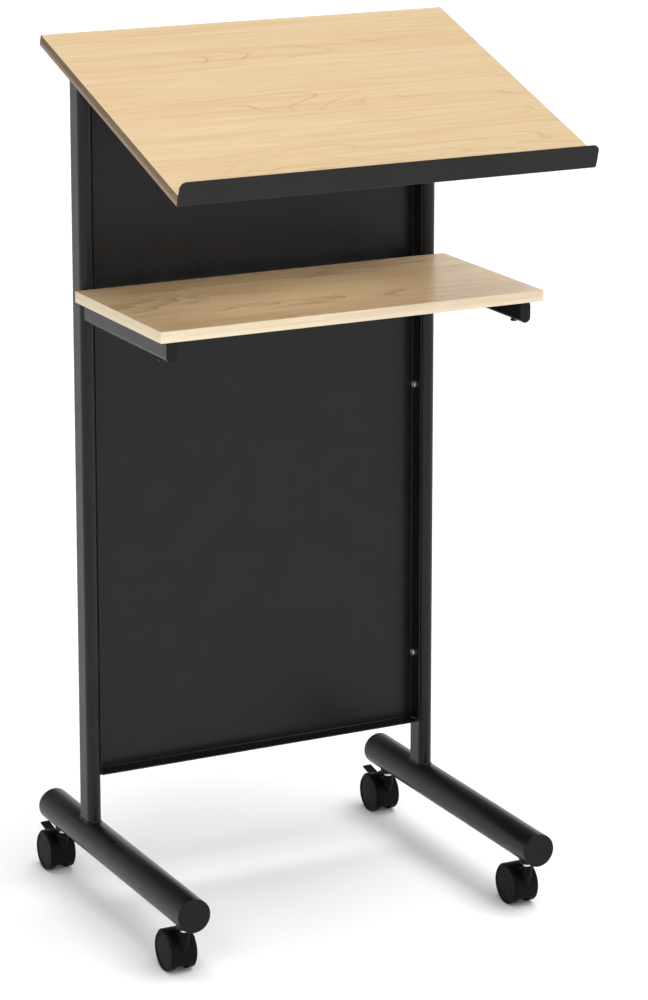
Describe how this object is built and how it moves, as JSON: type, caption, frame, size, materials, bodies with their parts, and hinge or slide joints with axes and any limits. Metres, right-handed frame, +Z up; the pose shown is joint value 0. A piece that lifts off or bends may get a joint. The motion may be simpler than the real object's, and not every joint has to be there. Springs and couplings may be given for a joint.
{
  "type": "presentation lectern",
  "caption": "Wheeled presentation lectern: sloping wood-pattern desk with a book stop, a lower shelf, oval steel uprights, a folded sheet panel and foot tubes on twin-wheel castors.",
  "frame": {"origin": "on the floor, under the middle of the overall width and depth", "axes": "+Z up, the speaker stands at -Y and faces +Y, +X to the speaker's right"},
  "size_m": [0.6, 0.569, 1.2019],
  "materials": {
    "laminate": "satin pale birch-pattern laminate",
    "edging": "matching wood-pattern edge banding",
    "black_steel": "satin black powder coat",
    "black_plastic": "moulded black plastic",
    "black_nylon": "moulded black nylon",
    "zinc": "bright zinc plate"
  },
  "bodies": {
    "frame": {"desk_board": "laminate", "shelf_board": "laminate", "desk_edge_strips": "edging", "shelf_edge_strips": "edging", "book_stop": "black_steel", "desk_arm_left": "black_steel", "desk_arm_right": "black_steel", "shelf_arm_left": "black_steel", "shelf_arm_right": "black_steel", "upright_left": "black_steel", "upright_right": "black_steel", "upright_cap_left": "black_steel", "upright_cap_right": "black_steel", "back_panel": "black_steel", "foot_tube_left": "black_steel", "foot_tube_right": "black_steel", "desk_screws": "black_steel", "book_stop_screws": "black_steel", "shelf_screws": "black_steel", "desk_arm_cap_left": "black_plastic", "desk_arm_cap_right": "black_plastic", "shelf_arm_cap_left": "black_plastic", "shelf_arm_cap_right": "black_plastic", "foot_cap_front_left": "black_plastic", "foot_cap_front_right": "black_plastic", "foot_cap_back_left": "black_plastic", "foot_cap_back_right": "black_plastic", "castor_socket_front_left": "black_plastic", "castor_socket_front_right": "black_plastic", "castor_socket_back_left": "black_plastic", "castor_socket_back_right": "black_plastic", "panel_bolts": "zinc", "panel_rivet_nuts": "zinc", "castor_stem_front_left": "zinc", "castor_stem_front_right": "zinc", "castor_stem_back_left": "zinc", "castor_stem_back_right": "zinc"},
    "castor_front_left": {"castor_hood_front_left": "black_nylon", "castor_axle_front_left": "zinc"},
    "wheel_left_front_left": {"castor_wheel_left_front_left": "black_nylon"},
    "wheel_right_front_left": {"castor_wheel_right_front_left": "black_nylon"},
    "castor_front_right": {"castor_hood_front_right": "black_nylon", "castor_axle_front_right": "zinc"},
    "wheel_left_front_right": {"castor_wheel_left_front_right": "black_nylon"},
    "wheel_right_front_right": {"castor_wheel_right_front_right": "black_nylon"},
    "castor_back_left": {"castor_hood_back_left": "black_nylon", "castor_axle_back_left": "zinc", "brake_pin_left": "zinc"},
    "wheel_left_back_left": {"castor_wheel_left_back_left": "black_nylon"},
    "wheel_right_back_left": {"castor_wheel_right_back_left": "black_nylon"},
    "brake_left": {"brake_lever_left": "black_nylon"},
    "castor_back_right": {"castor_hood_back_right": "black_nylon", "castor_axle_back_right": "zinc", "brake_pin_right": "zinc"},
    "wheel_left_back_right": {"castor_wheel_left_back_right": "black_nylon"},
    "wheel_right_back_right": {"castor_wheel_right_back_right": "black_nylon"},
    "brake_right": {"brake_lever_right": "black_nylon"}
  },
  "joints": [
    {"name": "castor_swivel_front_left", "type": "hinge", "parent": "frame", "child": "castor_front_left", "pos_m": [-0.2585, -0.1895, 0.03], "axis": [0, 0, 1], "continuous": true},
    {"name": "wheel_spin_left_front_left", "type": "hinge", "parent": "castor_front_left", "child": "wheel_left_front_left", "pos_m": [-0.2585, -0.1625, 0.02725], "axis": [1, 0, 0], "continuous": true},
    {"name": "wheel_spin_right_front_left", "type": "hinge", "parent": "castor_front_left", "child": "wheel_right_front_left", "pos_m": [-0.2585, -0.1625, 0.02725], "axis": [1, 0, 0], "continuous": true},
    {"name": "castor_swivel_front_right", "type": "hinge", "parent": "frame", "child": "castor_front_right", "pos_m": [0.2585, -0.1895, 0.03], "axis": [0, 0, 1], "continuous": true},
    {"name": "wheel_spin_left_front_right", "type": "hinge", "parent": "castor_front_right", "child": "wheel_left_front_right", "pos_m": [0.2585, -0.1625, 0.02725], "axis": [1, 0, 0], "continuous": true},
    {"name": "wheel_spin_right_front_right", "type": "hinge", "parent": "castor_front_right", "child": "wheel_right_front_right", "pos_m": [0.2585, -0.1625, 0.02725], "axis": [1, 0, 0], "continuous": true},
    {"name": "castor_swivel_back_left", "type": "hinge", "parent": "frame", "child": "castor_back_left", "pos_m": [-0.2585, 0.2165, 0.03], "axis": [0, 0, 1], "continuous": true},
    {"name": "wheel_spin_left_back_left", "type": "hinge", "parent": "castor_back_left", "child": "wheel_left_back_left", "pos_m": [-0.2585, 0.2435, 0.02725], "axis": [1, 0, 0], "continuous": true},
    {"name": "wheel_spin_right_back_left", "type": "hinge", "parent": "castor_back_left", "child": "wheel_right_back_left", "pos_m": [-0.2585, 0.2435, 0.02725], "axis": [1, 0, 0], "continuous": true},
    {"name": "brake_press_left", "type": "hinge", "parent": "castor_back_left", "child": "brake_left", "pos_m": [-0.2585, 0.2555, 0.04325], "axis": [-1, 0, 0], "range_deg": [0, 14]},
    {"name": "castor_swivel_back_right", "type": "hinge", "parent": "frame", "child": "castor_back_right", "pos_m": [0.2585, 0.2165, 0.03], "axis": [0, 0, 1], "continuous": true},
    {"name": "wheel_spin_left_back_right", "type": "hinge", "parent": "castor_back_right", "child": "wheel_left_back_right", "pos_m": [0.2585, 0.2435, 0.02725], "axis": [1, 0, 0], "continuous": true},
    {"name": "wheel_spin_right_back_right", "type": "hinge", "parent": "castor_back_right", "child": "wheel_right_back_right", "pos_m": [0.2585, 0.2435, 0.02725], "axis": [1, 0, 0], "continuous": true},
    {"name": "brake_press_right", "type": "hinge", "parent": "castor_back_right", "child": "brake_right", "pos_m": [0.2585, 0.2555, 0.04325], "axis": [-1, 0, 0], "range_deg": [0, 14]}
  ]
}
